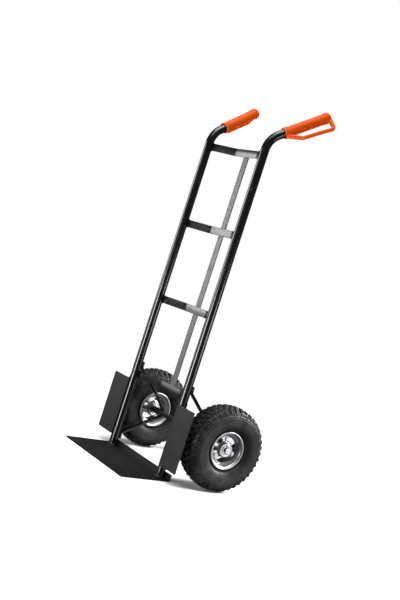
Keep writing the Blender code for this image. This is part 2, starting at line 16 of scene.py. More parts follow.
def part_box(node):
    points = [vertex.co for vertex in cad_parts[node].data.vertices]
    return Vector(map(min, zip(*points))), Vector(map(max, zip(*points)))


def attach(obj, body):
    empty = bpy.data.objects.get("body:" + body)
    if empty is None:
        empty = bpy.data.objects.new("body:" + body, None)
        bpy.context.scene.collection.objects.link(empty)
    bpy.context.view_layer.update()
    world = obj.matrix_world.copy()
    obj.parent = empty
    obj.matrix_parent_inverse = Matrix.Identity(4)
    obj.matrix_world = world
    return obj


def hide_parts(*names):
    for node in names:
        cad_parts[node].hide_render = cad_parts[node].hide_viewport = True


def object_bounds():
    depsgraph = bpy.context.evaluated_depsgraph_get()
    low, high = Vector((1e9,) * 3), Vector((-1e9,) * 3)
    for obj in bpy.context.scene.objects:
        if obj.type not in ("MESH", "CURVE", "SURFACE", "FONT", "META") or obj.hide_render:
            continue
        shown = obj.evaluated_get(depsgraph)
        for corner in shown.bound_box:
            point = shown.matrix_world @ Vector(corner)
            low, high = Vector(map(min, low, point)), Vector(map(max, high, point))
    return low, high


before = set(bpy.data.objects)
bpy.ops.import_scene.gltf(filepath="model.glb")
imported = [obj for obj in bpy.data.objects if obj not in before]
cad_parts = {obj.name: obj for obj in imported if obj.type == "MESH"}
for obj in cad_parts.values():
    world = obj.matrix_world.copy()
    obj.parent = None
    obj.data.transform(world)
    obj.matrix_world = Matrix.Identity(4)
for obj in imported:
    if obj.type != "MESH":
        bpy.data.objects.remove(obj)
CAD_LOW, CAD_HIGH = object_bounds()

# ---- dimensions of the pieces ----
GAP = 0.0003  # between pieces that rest on each other
SIDES = (("left", 1), ("right", -1))
X_AXIS = Vector((1, 0, 0))
Z_AXIS = Vector((0, 0, 1))

LEAN_ANGLE = math.radians(3.1)
TUBE_R = 0.0131
TUBE_X = 0.1537
TUBE_BACK = TUBE_R + GAP
TUBE_SIDES = 48
FOOT_CLEARANCE = 0.0007  # the leaning foot stays this far above the plate
BEND_CORNER_Z = 1.048
BEND_R = 0.068
HANDLE_RISE = math.radians(37.5)
HANDLE_SPLAY = math.radians(13.0)
HANDLE_LENGTH = 0.190

PLATE_DEPTH = 0.152  # from the plate's front edge back to the line of the feet
PLATE_THICKNESS = 0.003
PLATE_BEND_R = 0.0032
PLATE_CORNER_R = 0.003

BAR_HEIGHT = 0.024
BAR_THICKNESS = 0.0035
BAR_EDGE_R = 0.0009
BAR_FLAT_HALF = 0.057
BAR_RECESS = 0.044
BAR_END_X = TUBE_X - 0.0085
BAR_END_Y = 0.0075
BAR_BEND_R = 0.005
BAR_TOPS = (0.2545, 0.5096, 0.7647, 1.0198)

STRAP_HALF = 0.013
STRAP_THICKNESS = 0.0035
STRAP_INSET = 0.002  # the strap stops this far inside the outermost bars
STRAP_CORNER_R = 0.0015

GUARD_THICKNESS = 0.003
GUARD_HALF = 0.04745
GUARD_X = 0.20095
GUARD_LOW = 0.038
GUARD_HIGH = 0.225
GUARD_CORNER_R = 0.0035

BRACKET_THICKNESS = 0.0045
BRACKET_HALF = 0.011
BRACKET_BEND_R = 0.006
BRACKET_SOFT_BEND_R = 0.010
BRACKET_CORNER_R = 0.003
BRACKET_AXLE_GAP = 0.0083

AXLE_R = 0.008
AXLE_BARE_FROM = 0.190  # the axle is blackened between here and the middle
AXLE_CHAMFER = 0.0010
CENTRE_DRILL_R = 0.0022
AXLE_HOLE_R = 0.0084  # of everything that the axle runs through
WASHER_R = 0.0145
SPACER_R = 0.0105
PIN_WIRE_R = 0.0008

WELD_PITCH = 0.0026
WELD_SIDES = 10
FOOT_WELD_R = 0.0022
BAR_WELD_R = 0.0018
BRACKET_WELD_R = 0.002
FLANGE_WELD_R = 0.0017
STRAP_WELD_R = 0.0015
BRACKET_WELDS = ((0.0285, 0.043), (0.268, 0.284))  # heights on the tubes
BRACKET_WELD_X = 0.0078  # from the tube's centre line
GUARD_WELDS = (0.055, 0.115, 0.178)  # heights of their lower ends
GUARD_WELD_LENGTH = 0.025

GRIP_START = 0.052
GRIP_LENGTH = 0.158
GRIP_STEPS = 56
LOOP_TURN = math.radians(45.0)
LOOP_WIDTH = 0.0125
LOOP_THICKNESS = 0.0086
LOOP_EDGE_R = 0.0034
LOOP_ROOT = 0.020  # the loop thickens over this length towards both of its ends

DISC_FACE = 0.0180
DISC_THICKNESS = 0.0025
RIM_STEPS = 120
LIP_CENTRE = (0.0556, 0.0324)
LIP_RADII = (0.0030, 0.0028)
WINDOW_INNER_R = 0.0255
WINDOW_CUT = 0.03
WINDOWS = ((120.0, 190.0, 0.0405), (243.0, 327.0, 0.0405), (357.0, 33.0, 0.0435))

HUB_R = 0.021
HUB_HALF = 0.028
HUB_BORE_R = 0.014
BEARING_SEAT_R = 0.0178
BEARING_SEAT_Z = 0.0174
BEARING_Z = 0.0228
BEARING_HALF = 0.005
OUTER_RACE = (0.0175, 0.0150)
INNER_RACE = (0.0112, AXLE_HOLE_R)
SEAL = (0.0149, 0.0113)
SEAL_HALF = 0.0042

BOLT_CIRCLE_R = 0.0326
BOLT_ANGLES = (95.0, 342.0, 215.0)
BOLT_R = 0.0029
BOLT_TIP_R = 0.0024
BOLT_REACH = 0.0076  # of the shank beyond the far disc
BOLT_HEAD_R = 0.0056
BOLT_HEAD_HEIGHT = 0.0038
BOLT_WASHER_R = 0.0064
BOLT_WASHER_THICKNESS = 0.0009
HEAD_CHAMFER = 0.0007
CHAMFERED_SCALE = 0.86

VALVE_ANGLE = math.radians(15.0)
VALVE_TILT = math.radians(20.0)
VALVE_BASE = (0.0410, 0.0035)  # radius, height

TREAD_PITCHES = 40
TREAD_DEPTH = 0.0050
TREAD_SKEW = 0.30  # of one pitch, so that the blocks run aslant

# ---- places read from the frame ----
PLATE_LOW, PLATE_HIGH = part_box("toe_plate")
FOOT_Y = PLATE_LOW.y + PLATE_DEPTH
LEAN = Matrix.Translation((0, FOOT_Y, 0)) @ Matrix.Rotation(-LEAN_ANGLE, 4, "X")


def middle(node):
    """Centre of a CAD node's box."""
    low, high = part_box(node)
    return (low + high) / 2


# ---- meshes ----
MERGE_DISTANCE = 0.000002


def mesh_from(name, verts, faces, smooth=40.0):
    """A clean mesh, shaded smooth apart from edges sharper than smooth degrees."""
    mesh = bpy.data.meshes.new(name)
    mesh.from_pydata([tuple(v) for v in verts], [], faces)
    shape = bmesh.new()
    shape.from_mesh(mesh)
    bmesh.ops.remove_doubles(shape, verts=shape.verts, dist=MERGE_DISTANCE)
    bmesh.ops.recalc_face_normals(shape, faces=shape.faces)
    shape.to_mesh(mesh)
    shape.free()
    return finished(mesh, smooth)


def finished(mesh, smooth):
    """The mesh, shaded smooth apart from edges sharper than smooth degrees."""
    mesh.shade_smooth()
    mesh.set_sharp_from_angle(angle=math.radians(smooth))
    return mesh


def in_scene(name, data):
    """A new object in the scene that shows the data."""
    obj = bpy.data.objects.new(name, data)
    bpy.context.scene.collection.objects.link(obj)
    return obj


def piece(name, mesh, look, body, nodes=(), place=None):
    """A visible piece on a CAD body, standing for the CAD nodes that it replaces."""
    obj = in_scene(name, mesh)
    if place is not None:
        obj.matrix_world = place
    mesh.materials.clear()
    mesh.materials.append(look)
    if nodes:
        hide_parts(*nodes)
    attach(obj, body)
    return obj


def rounded(points, radius, steps=8):
    """Replace each inner corner of an open polyline with an arc."""
    if not isinstance(radius, (list, tuple)):
        radius = [radius] * (len(points) - 2)
    points = [Vector(p) for p in points]
    smooth = [points[0]]
    for (a, b, c), r in zip(zip(points, points[1:], points[2:]), radius):
        back, ahead = (a - b).normalized(), (c - b).normalized()
        half = back.angle(ahead) / 2
        centre = b + (back + ahead).normalized() * (r / math.sin(half))
        start = (b + back * (r / math.tan(half)) - centre).normalized()
        end = (b + ahead * (r / math.tan(half)) - centre).normalized()
        smooth += [centre + start.slerp(end, i / steps) * r for i in range(steps + 1)]
    return smooth + [points[-1]]


def tangents(path):
    """Direction of an open path at each of its points."""
    found = []
    for i in range(len(path)):
        a, b = path[max(i - 1, 0)], path[min(i + 1, len(path) - 1)]
        found.append((b - a).normalized())
    return found


def sweep(path, section, across=None, scales=None, closed=False):
    """Sweep a closed section along a path, its first coordinate along the direction across."""
    path = [Vector(p) for p in path]
    rows, n = len(path), len(section)
    along = tangents(path)
    if closed:
        along = [(path[(i + 1) % rows] - path[i - 1]).normalized() for i in range(rows)]
    scales = scales or [(1, 1)] * rows
    wide = across or along[0].orthogonal().normalized()
    verts, faces = [], []
    for point, tangent, (scale_a, scale_b) in zip(path, along, scales):
        wide = across or wide
        wide = (wide - tangent * wide.dot(tangent)).normalized()
        deep = tangent.cross(wide)
        verts += [point + wide * (a * scale_a) + deep * (b * scale_b) for a, b in section]
    for i in range(rows if closed else rows - 1):
        for j in range(n):
            k = (j + 1) % n
            m = (i + 1) % rows
            faces.append((i * n + j, i * n + k, m * n + k, m * n + j))
    if not closed:
        faces.append(tuple(range(n)))
        faces.append(tuple(range((rows - 1) * n, rows * n)))
    return verts, faces


def polar(radius, angle, z=0.0):
    """The point at a radius and an angle about local Z."""
    return Vector((radius * math.cos(angle), radius * math.sin(angle), z))


def circle(radius, sides):
    """Points round a circle, as (x, y)."""
    turn = math.tau / sides
    return [(radius * math.cos(turn * i), radius * math.sin(turn * i)) for i in range(sides)]


def rounded_rectangle(width, height, radius, steps=3):
    """Points round a rectangle with rounded corners, as (x, y)."""
    points = []
    for sx, sy, start in ((1, 1, 0), (-1, 1, 90), (-1, -1, 180), (1, -1, 270)):
        cx, cy = sx * (width / 2 - radius), sy * (height / 2 - radius)
        for i in range(steps + 1):
            a = math.radians(start + 90 * i / steps)
            points.append((cx + radius * math.cos(a), cy + radius * math.sin(a)))
    return points


def merged(parts):
    """Join several (verts, faces) lists into one."""
    verts, faces = [], []
    for part_verts, part_faces in parts:
        shift = len(verts)
        verts += part_verts
        faces += [tuple(i + shift for i in face) for face in part_faces]
    return verts, faces


def lathe(profile, steps, closed=True):
    """Turn (radius, height) points about local Z."""
    verts, faces = [], []
    n = len(profile)
    for i in range(steps):
        a = math.tau * i / steps
        verts += [polar(r, a, z) for r, z in profile]
    for i in range(steps):
        m = (i + 1) % steps
        for j in range(n if closed else n - 1):
            k = (j + 1) % n
            faces.append((i * n + j, m * n + j, m * n + k, i * n + k))
    return verts, faces


def soften(profile, radius):
    """Round every corner of a closed profile."""
    steps, count = 3, len(profile)
    result = []
    for i, point in enumerate(profile):
        b = Vector(point)
        a, c = Vector(profile[i - 1]), Vector(profile[(i + 1) % count])
        reach = min(radius, (a - b).length * 0.45, (c - b).length * 0.45)
        start = b + (a - b).normalized() * reach
        end = b + (c - b).normalized() * reach
        for s in range(steps + 1):
            t = s / steps
            result.append(tuple(start * (1 - t) ** 2 + b * (2 * t * (1 - t)) + end * t ** 2))
    return result


def moved(verts, matrix):
    """The points in the place that the matrix gives them."""
    return [matrix @ Vector(v) for v in verts]


def boolean(mesh, tools, operation="DIFFERENCE"):
    """The mesh cut by, or joined with, each tool mesh."""
    target = in_scene("target", mesh)
    helpers = []
    for tool in tools:
        helper = in_scene("tool", tool)
        helpers.append(helper)
        step = target.modifiers.new("cut", "BOOLEAN")
        step.operation = operation
        step.solver = "EXACT"
        step.object = helper
    bpy.context.view_layer.update()
    result = bpy.data.meshes.new_from_object(
        target.evaluated_get(bpy.context.evaluated_depsgraph_get())
    )
    for obj in [target] + helpers:
        bpy.data.objects.remove(obj, do_unlink=True)
    return result


# ---- looks ----
class Look:
    """A node material while it is being put together, in the piece's own coordinates.

    Its methods take sockets or plain values, and return sockets.
    """

    def __init__(self, name, colour, roughness, metallic=0.0):
        self.material = bpy.data.materials.new(name)
        self.material.use_nodes = True
        self.tree = self.material.node_tree
        self.shader = self.tree.nodes["Principled BSDF"]
        self.shader.inputs["Base Color"].default_value = (*colour, 1)
        self.shader.inputs["Roughness"].default_value = roughness
        self.shader.inputs["Metallic"].default_value = metallic
        self.material.diffuse_color = (*colour, 1)
        self.coords = self.tree.nodes.new("ShaderNodeTexCoord").outputs["Object"]
        self.normal = None

    def link(self, value, socket):
        if isinstance(value, (int, float)):
            socket.default_value = value
        else:
            self.tree.links.new(value, socket)

    def math(self, operation, a, b=0.0, clamp=False):
        node = self.tree.nodes.new("ShaderNodeMath")
        node.operation = operation
        node.use_clamp = clamp
        self.link(a, node.inputs[0])
        self.link(b, node.inputs[1])
        return node.outputs[0]

    def noise(self, scale, detail=2.0, stretch=(1, 1, 1), distortion=0.0):
        mapping = self.tree.nodes.new("ShaderNodeMapping")
        mapping.inputs["Scale"].default_value = stretch
        self.link(self.coords, mapping.inputs["Vector"])
        node = self.tree.nodes.new("ShaderNodeTexNoise")
        node.inputs["Scale"].default_value = scale
        node.inputs["Detail"].default_value = detail
        node.inputs["Distortion"].default_value = distortion
        self.link(mapping.outputs[0], node.inputs["Vector"])
        return node.outputs[0]

    def cells(self, scale):
        node = self.tree.nodes.new("ShaderNodeTexVoronoi")
        node.inputs["Scale"].default_value = scale
        self.link(self.coords, node.inputs["Vector"])
        return node.outputs["Distance"]

    def radius(self):
        """Distance from local Z."""
        split = self.tree.nodes.new("ShaderNodeSeparateXYZ")
        self.link(self.coords, split.inputs[0])
        x_squared = self.math("POWER", split.outputs[0], 2.0)
        y_squared = self.math("POWER", split.outputs[1], 2.0)
        return self.math("SQRT", self.math("ADD", x_squared, y_squared))

    def spread(self, value, start, end, low, high):
        """Map value from start..end to low..high, held at both ends."""
        node = self.tree.nodes.new("ShaderNodeMapRange")
        for socket, number in zip(node.inputs[1:5], (start, end, low, high)):
            socket.default_value = number
        self.link(value, node.inputs[0])
        return node.outputs[0]

    def mix(self, factor, first, second):
        node = self.tree.nodes.new("ShaderNodeMix")
        node.data_type = "RGBA"
        self.link(factor, node.inputs[0])
        for socket, colour in ((node.inputs[6], first), (node.inputs[7], second)):
            if isinstance(colour, tuple):
                socket.default_value = (*colour, 1)
            else:
                self.link(colour, socket)
        return node.outputs[2]

    def bump(self, height, distance):
        """Add relief of this depth in metres to the relief that is already there."""
        node = self.tree.nodes.new("ShaderNodeBump")
        node.inputs["Distance"].default_value = distance
        self.link(height, node.inputs["Height"])
        if self.normal is not None:
            self.link(self.normal, node.inputs["Normal"])
        self.normal = node.outputs[0]
        self.link(self.normal, self.shader.inputs["Normal"])

    def colour(self, value):
        self.link(value, self.shader.inputs["Base Color"])

    def rough(self, value):
        self.link(value, self.shader.inputs["Roughness"])


def powder_coat(name, dark, light, smooth, rough, gloss=0.5, peel=0.00002):
    """Powder coat: faint mottling, orange peel, fine pits and a few dull scuffs."""
    look = Look(name, dark, smooth)
    mottle = look.noise(16, 4)
    scuff = look.spread(look.noise(90, 5, (1, 1, 0.18), 0.6), 0.66, 0.74, 0.0, 1.0)
    specks = look.spread(look.cells(700), 0.05, 0.12, 1.0, 0.0)
    base = look.mix(look.spread(mottle, 0.35, 0.65, 0.0, 1.0), dark, light)
    worn = tuple(min(c * 2.6 + 0.012, 1) for c in light)
    look.colour(look.mix(look.math("MULTIPLY", scuff, 0.5), base, worn))
    polish = look.spread(look.noise(70, 3), 0.3, 0.7, smooth, rough)
    look.rough(look.math("ADD", polish, look.math("MULTIPLY", scuff, 0.16)))
    look.bump(look.noise(520, 2), peel)
    look.bump(look.math("MULTIPLY", specks, -1.0), 0.00001)
    look.shader.inputs["Specular IOR Level"].default_value = gloss
    return look.material


def moulded_plastic(name, colour, shade):
    """Satin moulded plastic with a spark-eroded grain and slight flow marks."""
    look = Look(name, colour, 0.4)
    flow = look.noise(22, 3, (1, 1, 0.3), 0.8)
    grime = look.spread(look.noise(60, 6), 0.58, 0.75, 0.0, 0.35)
    base = look.mix(look.spread(flow, 0.3, 0.7, 0.0, 1.0), colour, shade)
    look.colour(look.mix(grime, base, tuple(c * 0.8 for c in shade)))
    look.rough(look.spread(look.noise(130, 3), 0.3, 0.7, 0.34, 0.48))
    look.bump(look.noise(1500, 2), 0.000004)
    look.bump(look.noise(45, 2), 0.00005)
    look.shader.inputs["Specular IOR Level"].default_value = 0.1
    return look.material


GROOVE_SHADE_EDGE = (0.0620, 0.0650)  # radii across which the painted shade in the groove by the rim gives way to dust


def rubber(name, dark, dusty, rough_low, rough_high):
    """Moulded rubber: fine grain, mould lines about local Z, and dust outside the bead; the groove by
    the rim keeps the dark colour as painted shade.
    """
    look = Look(name, dark, rough_high)
    radius = look.radius()
    lines = look.math("SINE", look.math("MULTIPLY", radius, 2400.0))
    patches = look.spread(look.noise(34, 6, distortion=0.5), 0.46, 0.66, 0.0, 0.8)
    grains = look.spread(look.noise(420, 3), 0.5, 0.75, 0.0, 0.5)
    # painted shade: no dust inside these radii, so the groove by the rim stays dark as a painted
    # shadow ring
    outside_painted_groove_shade = look.spread(radius, *GROOVE_SHADE_EDGE, 0.0, 1.0)
    dust_and_groove_shade = look.math("MULTIPLY", look.math("ADD", patches, grains, clamp=True), outside_painted_groove_shade)
    look.colour(look.mix(dust_and_groove_shade, dark, dusty))
    look.rough(look.spread(look.noise(48, 4), 0.3, 0.7, rough_low, rough_high))
    look.bump(look.noise(950, 3), 0.00004)
    look.bump(look.noise(60, 3), 0.00025)
    look.bump(lines, 0.00001)
    look.shader.inputs["Specular IOR Level"].default_value = 0.24
    return look.material


def plated_steel(name, bright, dull, smooth, rough, lines=3400.0):
    """Zinc plate: cloudy patches, spangle and fine turning marks about local Z."""
    look = Look(name, bright, smooth, 1.0)
    cloud = look.spread(look.noise(34, 5, distortion=0.4), 0.36, 0.66, 0.0, 1.0)
    spangle = look.spread(look.cells(190), 0.0, 0.7, 0.0, 0.5)
    blend = look.math("MULTIPLY", look.math("ADD", cloud, spangle), 0.66, clamp=True)
    look.colour(look.mix(blend, bright, dull))
    look.rough(look.spread(look.noise(80, 4), 0.3, 0.72, smooth, rough))
    turned = look.math("SINE", look.math("MULTIPLY", look.radius(), lines))
    look.bump(turned, 0.000003)
    look.bump(look.noise(38, 2), 0.00004)
    return look.material


TUBE_PAINT = powder_coat(
    "tube_paint", (0.004, 0.004, 0.0045), (0.007, 0.007, 0.0075), 0.15, 0.19, 0.45, 0.000006
)
BAR_PAINT = powder_coat(
    "bar_paint", (0.004, 0.004, 0.0045), (0.008, 0.008, 0.0085), 0.2, 0.26, 0.5, 0.000008
)
PLATE_PAINT = powder_coat(
    "plate_paint", (0.003, 0.003, 0.0034), (0.006, 0.006, 0.0064), 0.46, 0.58, 0.14
)
GUARD_PAINT = powder_coat(
    "guard_paint", (0.008, 0.008, 0.009), (0.012, 0.012, 0.013), 0.5, 0.62, 0.2
)
STRAP_PAINT = powder_coat("strap_paint", (0.042, 0.042, 0.043), (0.058, 0.058, 0.059), 0.38, 0.5)
WELD_PAINT = powder_coat("weld_paint", (0.005, 0.005, 0.0055), (0.010, 0.010, 0.011), 0.22, 0.32)
GRIP_PLASTIC = moulded_plastic("grip_plastic", (0.62, 0.075, 0.001), (0.54, 0.061, 0.001))
TYRE_RUBBER = rubber("tyre_rubber", (0.006, 0.006, 0.006), (0.026, 0.0255, 0.025), 0.36, 0.66)
VALVE_RUBBER = rubber("valve_rubber", (0.008, 0.008, 0.008), (0.014, 0.014, 0.014), 0.42, 0.6)
SEAL_RUBBER = rubber("seal_rubber", (0.006, 0.006, 0.006), (0.010, 0.010, 0.010), 0.4, 0.55)
RIM_ZINC = plated_steel("rim_zinc", (0.62, 0.62, 0.63), (0.46, 0.46, 0.48), 0.34, 0.44)
BOLT_ZINC = plated_steel("bolt_zinc", (0.46, 0.46, 0.47), (0.32, 0.32, 0.34), 0.26, 0.36)
AXLE_STEEL = plated_steel("axle_steel", (0.13, 0.13, 0.135), (0.09, 0.09, 0.095), 0.34, 0.44, 5200.0)
BARE_STEEL = plated_steel("bare_steel", (0.62, 0.62, 0.63), (0.46, 0.46, 0.47), 0.2, 0.3, 5200.0)


# ---- frame ----
def handle_direction(side):
    """Unit vector along a handle, in the leaning frame."""
    level = math.cos(HANDLE_RISE)
    return Vector((
        side * level * math.sin(HANDLE_SPLAY), level * math.cos(HANDLE_SPLAY), math.sin(HANDLE_RISE)
    ))


def build_uprights():
    """Bent tubes from the toe plate up to the ends of the handles."""
    for label, side in SIDES:
        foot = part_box(f"upright_{label}")[0].z + FOOT_CLEARANCE
        corner = Vector((side * TUBE_X, 0, BEND_CORNER_Z))
        tip = corner + handle_direction(side) * HANDLE_LENGTH
        path = rounded([Vector((side * TUBE_X, 0, foot)), corner, tip], BEND_R, 24)
        rows = 12
        straight = [path[0].lerp(path[1], i / rows) for i in range(rows)]
        verts, faces = sweep(straight + path[1:], circle(TUBE_R, TUBE_SIDES), across=X_AXIS)
        mesh = mesh_from(f"tube_{label}", moved(verts, LEAN), faces)
        piece(f"tube_{label}", mesh, TUBE_PAINT, "frame", [f"upright_{label}"])


def build_crossbars():
    """Flat bars that run back from both tubes to a straight middle."""
    slope = (BAR_RECESS - BAR_END_Y) / (TUBE_X - BAR_FLAT_HALF)
    half = BAR_THICKNESS / 2
    end_y = BAR_END_Y + slope * (TUBE_X - BAR_END_X) + half
    back = BAR_RECESS + half
    section = rounded_rectangle(BAR_HEIGHT, BAR_THICKNESS, BAR_EDGE_R)
    for number, top in enumerate(BAR_TOPS, 1):
        z = top - BAR_HEIGHT / 2
        corners = [
            (-BAR_END_X, end_y, z), (-BAR_FLAT_HALF, back, z),
            (BAR_FLAT_HALF, back, z), (BAR_END_X, end_y, z),
        ]
        path = rounded(corners, BAR_BEND_R, 6)
        verts, faces = sweep(path, section, across=Z_AXIS)
        mesh = mesh_from(f"bar_{number}", moved(verts, LEAN), faces)
        piece(f"bar_{number}", mesh, BAR_PAINT, "frame", [f"crossbar_{number}"])


def plate_widths(path, half_width, radius):
    """Width factors along a strip's path that round its four corners."""
    total = sum((b - a).length for a, b in zip(path, path[1:]))
    run, factors = 0.0, []
    for i, point in enumerate(path):
        if i:
            run += (point - path[i - 1]).length
        near = min(run, total - run)
        short = radius - near
        cut_back = radius - math.sqrt(max(radius ** 2 - short ** 2, 0)) if short > 0 else 0
        factors.append(((half_width - cut_back) / half_width, 1))
    return factors


def with_rounded_ends(path, radius):
    """Extra points near both ends of a path, closer towards the ends."""
    steps = 5
    reach = [radius * (1 - math.cos(math.pi / 2 * i / steps)) for i in range(steps + 1)]
    from_start = (path[1] - path[0]).normalized()
    from_end = (path[-2] - path[-1]).normalized()
    start = [path[0] + from_start * r for r in reach]
    end = [path[-1] + from_end * r for r in reach]
    return start + path[1:-1] + end[::-1]


def strip(name, corners, bend_r, half_width, thickness, corner_r, matrix):
    """A sheet or flat bar bent along a path in the YZ plane, with its width along X."""
    path = with_rounded_ends(rounded(corners, bend_r, 8), corner_r)
    section = rounded_rectangle(2 * half_width, thickness, thickness * 0.3)
    widths = plate_widths(path, half_width, corner_r)
    verts, faces = sweep(path, section, across=X_AXIS, scales=widths)
    return mesh_from(name, moved(verts, matrix), faces)


def build_toe_plate():
    """Flat load plate whose rear edge turns up along the tubes' lean."""
    half = (PLATE_HIGH.x - PLATE_LOW.x) / 2
    level = PLATE_THICKNESS / 2
    run = PLATE_HIGH.z * math.tan(LEAN_ANGLE)
    rear = PLATE_HIGH.y - run - level
    points = ((PLATE_LOW.y, level), (rear, level), (rear + run, PLATE_HIGH.z))
    corners = [Vector((0, y, z)) for y, z in points]
    mesh = strip(
        "load_plate", corners, PLATE_BEND_R, half, PLATE_THICKNESS, PLATE_CORNER_R, Matrix.Identity(4)
    )
    piece("load_plate", mesh, PLATE_PAINT, "frame", ["toe_plate"])


def build_wheel_guards():
    """Flat plates on the tubes, which keep the load off the wheels."""
    y = -TUBE_BACK - GUARD_THICKNESS / 2
    for label, side in SIDES:
        corners = [Vector((side * GUARD_X, y, z)) for z in (GUARD_LOW, GUARD_HIGH)]
        mesh = strip(
            f"guard_{label}", corners, [], GUARD_HALF, GUARD_THICKNESS, GUARD_CORNER_R, LEAN
        )
        piece(
            f"guard_{label}", mesh, GUARD_PAINT, "frame", [f"wheel_guard_{label}"]
        )


def build_strap():
    """Flat upright bar behind the crossbars."""
    y = BAR_RECESS + BAR_THICKNESS + GAP + STRAP_THICKNESS / 2
    heights = (BAR_TOPS[0] - BAR_HEIGHT + STRAP_INSET, BAR_TOPS[-1] - STRAP_INSET)
    corners = [Vector((0, y, z)) for z in heights]
    mesh = strip("spine_strap", corners, [], STRAP_HALF, STRAP_THICKNESS, STRAP_CORNER_R, LEAN)
    piece("spine_strap", mesh, STRAP_PAINT, "frame", ["center_strap"])


def build_axle_brackets():
    """Flat bars from high on the tube back round the axle and forward to the tube's foot."""
    half = BRACKET_THICKNESS / 2
    on_tube = TUBE_BACK + half
    axle = LEAN.inverted() @ middle("axle")
    behind = axle.y + BRACKET_AXLE_GAP + half
    corners = [
        (on_tube, 0.286), (on_tube, 0.2675), (0.0966, 0.1985), (behind, 0.1455),
        (behind, 0.1265), (on_tube, 0.0455), (on_tube, 0.027),
    ]
    bends = [BRACKET_BEND_R, BRACKET_SOFT_BEND_R] + [BRACKET_BEND_R] * 3
    for label, side in SIDES:
        path = [Vector((side * TUBE_X, y, z)) for y, z in corners]
        mesh = strip(
            f"bracket_{label}", path, bends, BRACKET_HALF, BRACKET_THICKNESS, BRACKET_CORNER_R, LEAN
        )
        piece(
            f"bracket_{label}", mesh, TUBE_PAINT, "frame", [f"axle_bracket_{label}"]
        )


def bead(path, radius, closed=False):
    """A weld bead along a path: overlapping ripples with a slightly uneven size."""
    rings_per_ripple = 4
    path = [Vector(p) for p in path]
    if closed:
        path = path + [path[0]]
    length = sum((b - a).length for a, b in zip(path, path[1:]))
    count = max(int(length / WELD_PITCH) * rings_per_ripple, 2 * rings_per_ripple)
    points, scales, run, segment = [], [], 0.0, 0
    for i in range(count if closed else count + 1):
        want = length * i / count
        while segment < len(path) - 2 and run + (path[segment + 1] - path[segment]).length < want:
            run += (path[segment + 1] - path[segment]).length
            segment += 1
        a, b = path[segment], path[segment + 1]
        points.append(a.lerp(b, (want - run) / (b - a).length))
        ripple = 0.82 + 0.18 * abs(math.sin(math.pi * i / rings_per_ripple))
        ripple += random.uniform(-0.05, 0.05)
        if not closed:
            ripple *= min(1.0, 0.45 + 0.25 * min(i, count - i))
        scales.append((ripple, ripple))
    return sweep(points, circle(radius, WELD_SIDES), scales=scales, closed=closed)


def weld_at_foot(side):
    """Bead round a tube's foot."""
    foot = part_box("upright_left")[0].z + 0.0009
    ring = [Vector((side * TUBE_X + x, y, foot)) for x, y in circle(TUBE_R + 0.0006, 24)]
    return bead(ring, FOOT_WELD_R, closed=True)


def weld_at_bar(side, top):
    """Bead round a crossbar's end, where it meets the tube."""
    front, back = (TUBE_X - 0.0086, 0.0098), (TUBE_X - 0.0047, 0.0142)
    overlap = 0.0004
    low, high = top - BAR_HEIGHT - overlap, top + overlap
    corners = [(front, high), (front, low), (back, low), (back, high)]
    return bead([(side * x, y, z) for (x, y), z in corners], BAR_WELD_R, closed=True)


def build_welds():
    """All the beads of the frame in one piece: feet, bars, brackets, guards, flange and strap."""
    random.seed(7)
    parts = []
    for _, side in SIDES:
        x = side * TUBE_X
        parts.append(weld_at_foot(side))
        parts += [weld_at_bar(side, top) for top in BAR_TOPS]
        for low, high in BRACKET_WELDS:
            for edge in (x - BRACKET_WELD_X, x + BRACKET_WELD_X):
                parts.append(bead([(edge, 0.0124, low), (edge, 0.0124, high)], BRACKET_WELD_R))
        outer = x + side * 0.0065
        for low in GUARD_WELDS:
            ends = [(outer, -0.0125, z) for z in (low, low + GUARD_WELD_LENGTH)]
            parts.append(bead(ends, BRACKET_WELD_R))
        parts.append(bead([(x - 0.008, 0.0138, 0.0215), (x + 0.008, 0.0138, 0.0215)], FLANGE_WELD_R))
    y = BAR_RECESS + BAR_THICKNESS + 2 * GAP
    for top in BAR_TOPS:
        for edge in (-0.0134, 0.0134):
            parts.append(bead([(edge, y, top - 0.021), (edge, y, top - 0.004)], STRAP_WELD_R))
    verts, faces = merged(parts)
    mesh = mesh_from("weld_beads", moved(verts, LEAN), faces, smooth=60.0)
    piece("weld_beads", mesh, WELD_PAINT, "frame")


def build_axle():
    """Axle with blackened middle and bare ends, and the rings and pins that it carries."""
    centre = middle("axle")
    half = (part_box("axle")[1].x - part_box("axle")[0].x) / 2
    along_x = Matrix.Translation(centre) @ Matrix.Rotation(math.radians(90), 4, "Y")
    steps = 40
    bar = [(0.0, AXLE_BARE_FROM), (AXLE_R, AXLE_BARE_FROM)]
    bar += [(r, -z) for r, z in bar[::-1]]
    mesh = mesh_from("axle_bar", *lathe(bar, steps, closed=False), smooth=30)
    piece("axle_bar", mesh, AXLE_STEEL, "frame", ["axle"], along_x)
    end = [
        (0.0, half - 0.0022), (0.0016, half - 0.001), (CENTRE_DRILL_R, half),
        (AXLE_R - AXLE_CHAMFER, half), (AXLE_R, half - AXLE_CHAMFER),
        (AXLE_R, AXLE_BARE_FROM), (0.0, AXLE_BARE_FROM),
    ]
    for label, side in SIDES:
        name = f"axle_end_{label}"
        turned = lathe([(r, z * side) for r, z in end], steps, closed=False)
        piece(
            name, mesh_from(name, *turned, smooth=30), BARE_STEEL, "frame", [], along_x
        )
    for label, _ in SIDES:
        for part in ("washer_inner", "washer_outer"):
            build_ring(f"{part}_{label}", BOLT_ZINC, centre, WASHER_R, 0.0004)
        build_ring(f"axle_spacer_{label}", TUBE_PAINT, centre, SPACER_R, 0.0006)
        build_cotter_pin(label)


